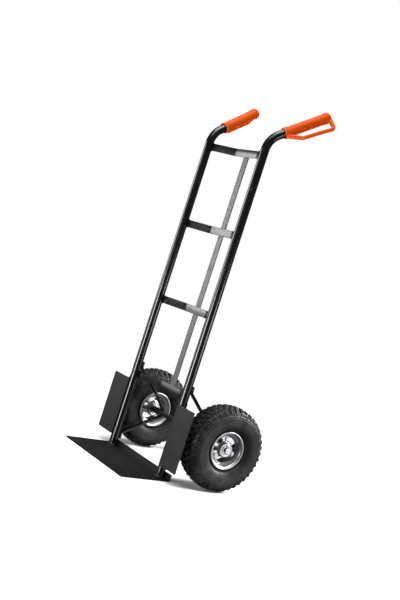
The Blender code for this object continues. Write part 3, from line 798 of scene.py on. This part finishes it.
def build_ring(node, look, centre, outer, edge):
    """A plain ring on the axle in the place of a CAD ring, with softened edges."""
    low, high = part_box(node)
    half = (high.x - low.x) / 2
    place = Matrix.Translation((middle(node).x, centre.y, centre.z))
    section = ring_section(outer, AXLE_HOLE_R, half, edge)
    mesh = mesh_from(node + "_ring", *lathe(section, 48))
    along_x = place @ Matrix.Rotation(math.radians(90), 4, "Y")
    piece(node + "_ring", mesh, look, "frame", [node], along_x)


def build_cotter_pin(label):
    """Split pin: an eye above the axle and two legs bent apart below it."""
    leg = 0.0007
    one_side = [
        (0.0042, -0.0118), (leg + 0.0004, -0.0092), (leg, 0.009), (0.0023, 0.0118), (0.0, 0.0142)
    ]
    path = one_side + [(-y, z) for y, z in one_side[-2::-1]]
    points = rounded([Vector((0, y, z)) for y, z in path], 0.0010, 4)
    name = f"split_pin_{label}"
    mesh = mesh_from(name, *sweep(points, circle(PIN_WIRE_R, 10)))
    place = Matrix.Translation(middle(f"cotter_pin_{label}"))
    piece(name, mesh, BOLT_ZINC, "frame", [f"cotter_pin_{label}"], place)


# ---- grips ----
def grip_profile():
    """Outer side of the grip from its closed rear end to the collar, and its socket."""
    length = GRIP_LENGTH
    return [
        (0.0, length + 0.0004), (0.0060, length), (0.0110, length - 0.0016),
        (0.0148, length - 0.0045), (0.0168, length - 0.0085), (0.0174, length - 0.0125),
        (0.0172, length - 0.0170), (0.0165, length - 0.0215), (0.0160, length - 0.0270),
        (0.0158, length - 0.0400), (0.0158, 0.0300), (0.0160, 0.0150), (0.0164, 0.0105),
        (0.0172, 0.0078), (0.0177, 0.0058), (0.0178, 0.0022), (0.0174, 0.0006),
        (0.0164, 0.0), (0.0142, 0.0), (0.0136, 0.0006), (0.0134, 0.0020), (0.0134, 0.0200),
        (0.0, 0.0202),
    ]


def guard_loop():
    """Flat bar from the collar down to a sharp corner, back under the hand and up to the end."""
    corners = [
        Vector((0.0090, 0, 0.0060)), Vector((0.0165, 0, 0.0090)), Vector((0.0405, 0, 0.0425)),
        Vector((0.0430, 0, 0.0950)), Vector((0.0475, 0, 0.1465)), Vector((0.0090, 0, 0.1505)),
    ]
    path = rounded(corners, [0.008, 0.0075, 0.12, 0.0095], 10)
    scales = []
    for point in path:
        from_end = min((point - path[0]).length, (point - path[-1]).length)
        root = max(0.0, 1 - from_end / LOOP_ROOT)
        scales.append((1 + 0.35 * root, 1 + 0.55 * root))
    section = rounded_rectangle(LOOP_WIDTH, LOOP_THICKNESS, LOOP_EDGE_R, 5)
    return sweep(path, section, across=Vector((0, 1, 0)), scales=scales)


def build_grips():
    """Handle grips, each with its loop hanging between straight down and straight outboard."""
    for label, side in SIDES:
        along = handle_direction(side)
        outboard = Vector((along.y, -along.x, 0)).normalized() * side
        plumb = Vector((0, 0, -1))
        down = (plumb - along * plumb.dot(along)).normalized()
        hang = down * math.cos(LOOP_TURN) + outboard * math.sin(LOOP_TURN)
        rows = Matrix((hang, along.cross(hang), along)).transposed().to_4x4()
        start = Vector((side * TUBE_X, 0, BEND_CORNER_Z)) + along * GRIP_START
        place = LEAN @ Matrix.Translation(start) @ rows
        name = f"handle_grip_{label}"
        body = mesh_from(name, *lathe(grip_profile(), GRIP_STEPS, closed=False))
        loop = mesh_from(name + "_loop", *guard_loop())
        mesh = finished(boolean(body, [loop], "UNION"), 50.0)
        piece(name, mesh, GRIP_PLASTIC, "frame", [f"grip_{label}"], place)


# ---- wheels ----
def wheel_places():
    """Each wheel's label and place; seen from outside, angles run anticlockwise from the right."""
    for label, side in SIDES:
        quarter = math.radians(90) * side
        turn = Matrix.Rotation(quarter, 4, "Y") @ Matrix.Rotation(quarter, 4, "Z")
        yield label, Matrix.Translation(middle(f"hub_{label}")) @ turn


# Half of the tyre's section, as (radius, height), from the bead over the sidewall to the centre.
SHELL = (
    (0.0524, 0.0262), (0.0545, 0.0280), (0.0590, 0.0278), (0.0620, 0.0282), (0.0634, 0.0310),
    (0.0652, 0.0356), (0.0680, 0.0384), (0.0730, 0.0412), (0.0790, 0.0438), (0.0870, 0.0456),
    (0.0940, 0.0461), (0.1000, 0.0458), (0.1012, 0.0457), (0.1024, 0.0456), (0.1040, 0.0452),
    (0.1062, 0.0447), (0.1074, 0.0444), (0.1086, 0.0440), (0.1104, 0.0434),
)
SHOULDER = (
    (0.1120, 0.0432), (0.1150, 0.0425), (0.1180, 0.0414), (0.1203, 0.0402), (0.1222, 0.0384),
    (0.1240, 0.0352), (0.1252, 0.0318), (0.1262, 0.0288),
)
CROWN = (
    (0.1268, 0.0268), (0.1271, 0.0256), (0.1278, 0.0225), (0.1284, 0.0190), (0.1289, 0.0150),
    (0.1291, 0.0132), (0.1293, 0.0118), (0.1296, 0.0090), (0.1298, 0.0060), (0.1299, 0.0030),
)
# The tyre's inner skin, from one bead to the other.
TYRE_INSIDE = (
    (0.0524, -0.0240), (0.0650, -0.0262), (0.0850, -0.0375), (0.1030, -0.0375), (0.1165, -0.0250),
    (0.1165, 0.0250), (0.1030, 0.0375), (0.0850, 0.0375), (0.0650, 0.0262), (0.0524, 0.0240),
)
# Where a groove or a block starts and ends along one tread pitch.
PITCH_CUTS = (0.0, 0.05, 0.09, 0.14, 0.25, 0.36, 0.44, 0.5, 0.55, 0.60, 0.66, 0.75, 0.84, 0.90)


def block_height(part, turn):
    """How far the tread stands above its grooves, from 0 to 1."""
    if part == "shoulder":
        tall, low = 0.05 <= turn <= 0.44, 0.60 <= turn <= 0.84
        return 1.0 if tall else (0.5 if low else 0.0)
    if part == "gap":
        return 0.0
    if part == "outer_row":
        return 1.0 if turn >= 0.55 or turn < 0.05 else 0.0
    if part == "middle_row":
        return 1.0 if 0.05 <= turn <= 0.55 else 0.0
    return 1.0


def tyre_columns():
    """Section of the tyre across its width, as (radius, height, part, row)."""
    half = [(r, z, "side", i) for i, (r, z) in enumerate(SHELL)]
    half += [(r, z, "shoulder", i) for i, (r, z) in enumerate(SHOULDER)]
    parts = ["gap"] * 2 + ["outer_row"] * 3 + ["gap"] * 2 + ["middle_row"] * 3
    half += [(r, z, part, i) for i, ((r, z), part) in enumerate(zip(CROWN, parts))]
    mirrored = [(r, -z, part, row) for r, z, part, row in half[::-1]]
    return half + [(0.1300, 0.0, "middle_row", 0)] + mirrored


def ring_lift(radius):
    """Height of the thin concentric rings on the sidewall."""
    lift = 0.0
    for ring_r, height, width in ((0.1074, 0.0009, 0.0008), (0.1012, 0.0006, 0.0008)):
        lift += height * math.exp(-((radius - ring_r) / width) ** 2)
    return lift


def tread_point(column, turn, cut):
    """A point of the tyre's outer skin, where the tread pattern has pressed it in or turned it."""
    radius, z, part, row = column
    height = 1.0 if part == "side" else block_height(part, cut)
    depth = TREAD_DEPTH * (1 - height)
    if part == "shoulder" and row < 2:
        depth = 0.0012 * (1 - height)
    side = 1 if z > 0 else -1
    skew = TREAD_SKEW * max(0.0, 0.5 - abs(abs(z) - 0.018) / 0.03) / TREAD_PITCHES * side
    a = math.tau * (turn + (skew if part != "side" else 0))
    lift = ring_lift(radius) if part == "side" else 0.0
    if part in ("side", "shoulder"):
        outward = Vector((max(radius - 0.094, 0.0), 0, z)).normalized()
    else:
        outward = Vector((1, 0, 0))
    pressed = Vector((radius, 0, z)) + outward * (lift - depth)
    return polar(pressed.x, a, pressed.z)


def build_tyre(label, place):
    """Tyre as one closed skin: the patterned outside, then the plain inside, ring by ring."""
    columns = tyre_columns()
    turns = [(p + cut) / TREAD_PITCHES for p in range(TREAD_PITCHES) for cut in PITCH_CUTS]
    verts, faces = [], []
    for index, turn in enumerate(turns):
        cut = PITCH_CUTS[index % len(PITCH_CUTS)]
        verts += [tread_point(column, turn, cut) for column in columns]
    rows, outer, inner = len(turns), len(columns), len(TYRE_INSIDE)
    for turn in turns:
        a = math.tau * turn
        verts += [polar(r, a, z) for r, z in TYRE_INSIDE]
    shift = rows * outer
    for i in range(rows):
        m = (i + 1) % rows
        for j in range(outer - 1):
            faces.append((i * outer + j, m * outer + j, m * outer + j + 1, i * outer + j + 1))
        here, after = shift + i * inner, shift + m * inner
        for j in range(inner - 1):
            faces.append((here + j, after + j, after + j + 1, here + j + 1))
        faces.append((i * outer + outer - 1, m * outer + outer - 1, after, here))
        faces.append((here + inner - 1, after + inner - 1, m * outer, i * outer))
    mesh = mesh_from(f"tyre_tread_{label}", verts, faces, smooth=38.0)
    piece(f"tyre_tread_{label}", mesh, TYRE_RUBBER, f"wheel_{label}",
          [f"tyre_{label}"], place)


def rim_section():
    """Section of one pressed rim half, with its rolled lip, as (radius, distance outboard)."""
    near = 0.00015
    back = DISC_FACE - DISC_THICKNESS
    lip = [(LIP_CENTRE[0] + LIP_RADII[0] * math.cos(a), LIP_CENTRE[1] + LIP_RADII[1] * math.sin(a))
           for a in [math.radians(d) for d in range(150, -46, -15)]]
    front = [(HUB_R + 0.0003, 0.0215), (0.0234, 0.0206), (0.0256, 0.0186), (0.0268, DISC_FACE),
             (0.0290, DISC_FACE), (0.0385, DISC_FACE), (0.0412, 0.0170), (0.0436, 0.0146),
             (0.0452, 0.0138), (0.0466, 0.0146), (0.0472, 0.0168), (0.0478, 0.0215),
             (0.0485, 0.0262), (0.0490, 0.0290), (0.0500, 0.0312), (0.0516, 0.0326)]
    under = [(0.0560, 0.0302), (0.0540, 0.0298), (0.0522, 0.0282), (0.0516, 0.0260),
             (0.0512, 0.0120), (0.0512, near), (0.0487, near), (0.0482, 0.0110),
             (0.0468, 0.0113), (0.0452, 0.0112), (0.0436, 0.0120), (0.0410, 0.0140),
             (0.0380, back), (0.0268, back), (0.0252, 0.0162), (0.0232, 0.0184),
             (HUB_R + 0.0003, 0.0190)]
    return front + lip + under


def window_tool(start, end, outer_r):
    """A kidney-shaped block that cuts one window, with rounded ends."""
    a = math.radians(start)
    b = math.radians(end if end > start else end + 360)
    centre_r = (WINDOW_INNER_R + outer_r) / 2
    half = (outer_r - WINDOW_INNER_R) / 2
    margin = half / centre_r * 0.72
    steps = 14
    spine = [a + margin + (b - a - 2 * margin) * i / steps for i in range(steps + 1)]
    outline = [polar(outer_r, t) for t in spine]
    for angle, sweep_from in ((spine[-1], 0.0), (spine[0], math.pi)):
        centre = polar(centre_r, angle)
        for i in range(1, 8):
            t = angle + sweep_from + math.pi * i / 8
            outline.append(centre + polar(1.0, t) * half)
        if sweep_from == 0.0:
            outline += [polar(WINDOW_INNER_R, t) for t in spine[::-1]]
    n = len(outline)
    verts = [p + Vector((0, 0, z)) for z in (-WINDOW_CUT, WINDOW_CUT) for p in outline]
    faces = [tuple(range(n)), tuple(range(n, 2 * n))]
    faces += [(i, (i + 1) % n, (i + 1) % n + n, i + n) for i in range(n)]
    return mesh_from("window", verts, faces)


def build_rims(label, place):
    """Both pressed rim halves, each with its windows cut out."""
    for part, sign in (("outer", 1), ("inner", -1)):
        section = [(r, z * sign) for r, z in rim_section()]
        mesh = mesh_from(f"rim_half_{part}_{label}", *lathe(section, RIM_STEPS))
        mesh = finished(boolean(mesh, [window_tool(*w) for w in WINDOWS]), 40.0)
        piece(f"rim_half_{part}_{label}", mesh, RIM_ZINC, f"wheel_{label}",
              [f"rim_{part}_{label}"], place)


def hexagon(radius, low, high):
    """Hexagonal head or nut with its corners chamfered on the outer face."""
    levels = [(low, 1.0), (high - HEAD_CHAMFER, 1.0), (high, CHAMFERED_SCALE)]
    verts, faces = [], []
    for z, scale in levels:
        verts += [Vector((x, y, z)) for x, y in circle(radius * scale, 6)]
    for level in range(2):
        for i in range(6):
            k = (i + 1) % 6
            faces.append((level * 6 + i, level * 6 + k, level * 6 + 6 + k, level * 6 + 6 + i))
    faces += [tuple(range(6)), tuple(range(12, 18))]
    return verts, faces


def build_rim_bolts(label, place):
    """The bolts that join the rim halves, heads outside, each with its nut inside."""
    face = DISC_FACE + GAP
    seat = face + BOLT_WASHER_THICKNESS
    for number, degrees in enumerate(BOLT_ANGLES, 1):
        here = place @ Matrix.Translation(polar(BOLT_CIRCLE_R, math.radians(degrees)))
        washer = lathe(soften([
            (BOLT_WASHER_R, seat), (BOLT_WASHER_R, face), (BOLT_R, face), (BOLT_R, seat)
        ], 0.0003), 32)
        head = hexagon(BOLT_HEAD_R, seat, face + BOLT_HEAD_HEIGHT)
        tip = -face - BOLT_REACH
        shank = lathe([
            (0.0, face + 0.001), (BOLT_R, face + 0.001), (BOLT_R, tip + 0.0004),
            (BOLT_TIP_R, tip), (0.0, tip),
        ], 24, closed=False)
        mesh = mesh_from(f"bolt_{number}_{label}", *merged([washer, head, shank]), smooth=30.0)
        piece(f"bolt_{number}_{label}", mesh, BOLT_ZINC, f"wheel_{label}",
              [f"rim_bolt_{number}_{label}"], here)
        verts, faces = hexagon(BOLT_HEAD_R, face, face + BOLT_HEAD_HEIGHT)
        verts = [Vector((v.x, v.y, -v.z)) for v in verts]
        nut = mesh_from(f"nut_{number}_{label}", verts, faces, smooth=30.0)
        piece(f"nut_{number}_{label}", nut, BOLT_ZINC, f"wheel_{label}",
              [f"rim_nut_{number}_{label}"], here)


def ring_section(outer, inner, half, edge):
    """Softened rectangular section of a ring, as (radius, height)."""
    return soften([(outer, half), (outer, -half), (inner, -half), (inner, half)], edge)


def build_hub(label, place):
    """Hub tube with a bearing in each end; each bearing shows two races and a seal."""
    seat, step = BEARING_SEAT_R, BEARING_SEAT_Z
    section = soften([
        (HUB_R, HUB_HALF), (HUB_R, -HUB_HALF), (seat, -HUB_HALF), (seat, -step),
        (HUB_BORE_R, -step), (HUB_BORE_R, step), (seat, step), (seat, HUB_HALF),
    ], 0.0007)
    mesh = mesh_from(f"hub_tube_{label}", *lathe(section, 72))
    piece(f"hub_tube_{label}", mesh, BOLT_ZINC, f"wheel_{label}",
          [f"hub_{label}"], place)
    for part, sign in (("outer", 1), ("inner", -1)):
        z = BEARING_Z * sign
        races = [ring_section(*race, BEARING_HALF, 0.0005) for race in (OUTER_RACE, INNER_RACE)]
        rings = merged([lathe([(r, h + z) for r, h in race], 64) for race in races])
        mesh = mesh_from(f"bearing_races_{part}_{label}", *rings)
        piece(f"bearing_races_{part}_{label}", mesh, BARE_STEEL,
              f"wheel_{label}", [f"bearing_{part}_{label}"], place)
        seal = ring_section(*SEAL, SEAL_HALF, 0.0006)
        mesh = mesh_from(f"bearing_seal_{part}_{label}", *lathe([(r, h + z) for r, h in seal], 64))
        piece(f"bearing_seal_{part}_{label}", mesh, SEAL_RUBBER,
              f"wheel_{label}", [], place)


def build_valve(label, place):
    """Rubber valve stem with its metal cap, leaning towards the axle."""
    around = Matrix.Rotation(VALVE_ANGLE, 4, "Z")
    base = Matrix.Translation((VALVE_BASE[0], 0, VALVE_BASE[1]))
    lean_in = Matrix.Rotation(-VALVE_TILT, 4, "Y")
    here = place @ around @ base @ lean_in
    stem = soften([(0.0, 0.0150), (0.0031, 0.0150), (0.0035, 0.0120), (0.0040, 0.0065),
                   (0.0048, 0.0022), (0.0048, 0.0), (0.0, 0.0)], 0.0004)
    mesh = mesh_from(f"valve_body_{label}", *lathe(stem, 32))
    piece(f"valve_body_{label}", mesh, VALVE_RUBBER, f"wheel_{label}",
          [f"valve_stem_{label}"], here)
    cap = soften([(0.0, 0.0228), (0.0022, 0.0228), (0.0030, 0.0218), (0.0031, 0.0152),
                  (0.0, 0.0152)], 0.0003)
    mesh = mesh_from(f"valve_cap_{label}", *lathe(cap, 32))
    piece(f"valve_cap_{label}", mesh, BOLT_ZINC, f"wheel_{label}", [], here)


def build_inner_tube(label):
    """The air tube keeps its CAD shape, out of sight inside the tyre."""
    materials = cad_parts[f"inner_tube_{label}"].data.materials
    materials.clear()
    materials.append(VALVE_RUBBER)


def build_wheels():
    """Every turning piece of both wheels."""
    for label, place in wheel_places():
        build_tyre(label, place)
        build_rims(label, place)
        build_rim_bolts(label, place)
        build_hub(label, place)
        build_valve(label, place)
        build_inner_tube(label)


# ---- studio ----
CAMERA_AT = Vector((2.5739, -1.6802, 0.6046))  # in the leaning frame
CAMERA_TURN = (0.9795, -0.023, 0.3131)  # yaw, pitch and roll in radians
LENS_MM = 60.0
SENSOR_MM = 36.0
FLOOR_R = 2.1
FLOOR_DROP = 0.0002  # keeps the floor just under the wheels and the plate
BOUNCED_LIGHT = (0.05, 0.05, 0.052, 1)
SEEN_WHITE = (1.0, 1.0, 1.0, 1)
SUN_STRENGTH = 3.0
SUN_SPREAD = 50  # degrees
# name, compass angle, distance, height, width, tall, watts, aimed at, spread
SOFTBOXES = (
    ("key_softbox", -137, 3.0, 1.05, 2.3, 1.1, 56, (0, 0, 0.9), 180),
    ("strip_softbox", -82, 2.8, 0.16, 1.0, 1.0, 72, (0, 0, 0.2), 180),
    ("wheel_softbox", 30, 3.2, 0.25, 1.4, 0.5, 17, (0, 0, 0.15), 180),
    ("shoulder_softbox", 66, 1.7, 1.2, 0.7, 0.7, 8, (0.2, 0, 0.1), 50),
    ("wheel_card", 38, 1.15, 0.04, 1.4, 0.8, 0.9, (0, 0, 0.5), 60),
    ("bar_card", -147, 2.9, 0.2, 1.0, 0.4, 3.5, (0, 0, 0.2), 180),
    ("top_softbox", -60, 0.8, 3.4, 2.6, 2.6, 60, (0, 0, 0.6), 180),
)


def build_camera():
    """Camera at the photo's viewpoint, placed in the leaning frame and then leaned with it."""
    yaw, pitch, roll = CAMERA_TURN
    ahead = Vector((
        -math.sin(yaw) * math.cos(pitch), math.cos(yaw) * math.cos(pitch), math.sin(pitch)
    ))
    right = ahead.cross(Z_AXIS).normalized()
    up = right.cross(ahead)
    turned_right = right * math.cos(roll) + up * math.sin(roll)
    turned_up = up * math.cos(roll) - right * math.sin(roll)
    axes = Matrix((turned_right, turned_up, -ahead)).transposed().to_4x4()
    data = bpy.data.cameras.new("camera")
    data.lens = LENS_MM
    data.sensor_width = SENSOR_MM
    camera = in_scene("camera", data)
    camera.matrix_world = LEAN @ Matrix.Translation(CAMERA_AT) @ axes
    bpy.context.scene.camera = camera


def area_light(name, azimuth, distance, height, width, tall, watts, aim, spread):
    """A softbox at a compass angle round the truck, 0 towards +X and 90 towards +Y."""
    data = bpy.data.lights.new(name, "AREA")
    data.shape = "RECTANGLE"
    data.size, data.size_y = width, tall
    data.energy = watts
    data.spread = math.radians(spread)
    light = in_scene(name, data)
    a = math.radians(azimuth)
    light.location = (distance * math.cos(a), distance * math.sin(a), height)
    light.rotation_mode = "QUATERNION"
    light.rotation_quaternion = (Vector(aim) - light.location).to_track_quat("-Z", "Y")
    light.visible_camera = False


def build_studio():
    """Softboxes, a broad overhead light, and air that looks white only to the camera."""
    for softbox in SOFTBOXES:
        area_light(*softbox)
    sun = bpy.data.lights.new("overhead", "SUN")
    sun.energy = SUN_STRENGTH
    sun.angle = math.radians(SUN_SPREAD)
    in_scene("overhead", sun)
    world = bpy.data.worlds.new("studio_air")
    world.use_nodes = True
    bpy.context.scene.world = world
    tree = world.node_tree
    background = tree.nodes["Background"]
    path = tree.nodes.new("ShaderNodeLightPath")
    mix = tree.nodes.new("ShaderNodeMix")
    mix.data_type = "RGBA"
    mix.inputs[6].default_value = BOUNCED_LIGHT
    mix.inputs[7].default_value = SEEN_WHITE
    tree.links.new(path.outputs["Is Camera Ray"], mix.inputs[0])
    tree.links.new(mix.outputs[2], background.inputs["Color"])
    bpy.context.scene.view_settings.view_transform = "Standard"


def build_floor():
    """Pale round floor, which the truck doesn't reflect."""
    look = Look("pale_floor", (0.86, 0.86, 0.86), 0.75)
    look.rough(look.spread(look.noise(6, 3), 0.3, 0.7, 0.7, 0.85))
    mesh = bpy.data.meshes.new("floor")
    shape = bmesh.new()
    bmesh.ops.create_circle(shape, cap_ends=True, segments=96, radius=FLOOR_R)
    shape.to_mesh(mesh)
    shape.free()
    mesh.materials.append(look.material)
    floor = in_scene("floor", mesh)
    floor.location = (0, 0, CAD_LOW.z - FLOOR_DROP)
    floor.visible_glossy = False


build_uprights()
build_crossbars()
build_strap()
build_toe_plate()
build_wheel_guards()
build_axle_brackets()
build_axle()
build_welds()
build_grips()
build_wheels()
build_floor()
build_studio()
build_camera()
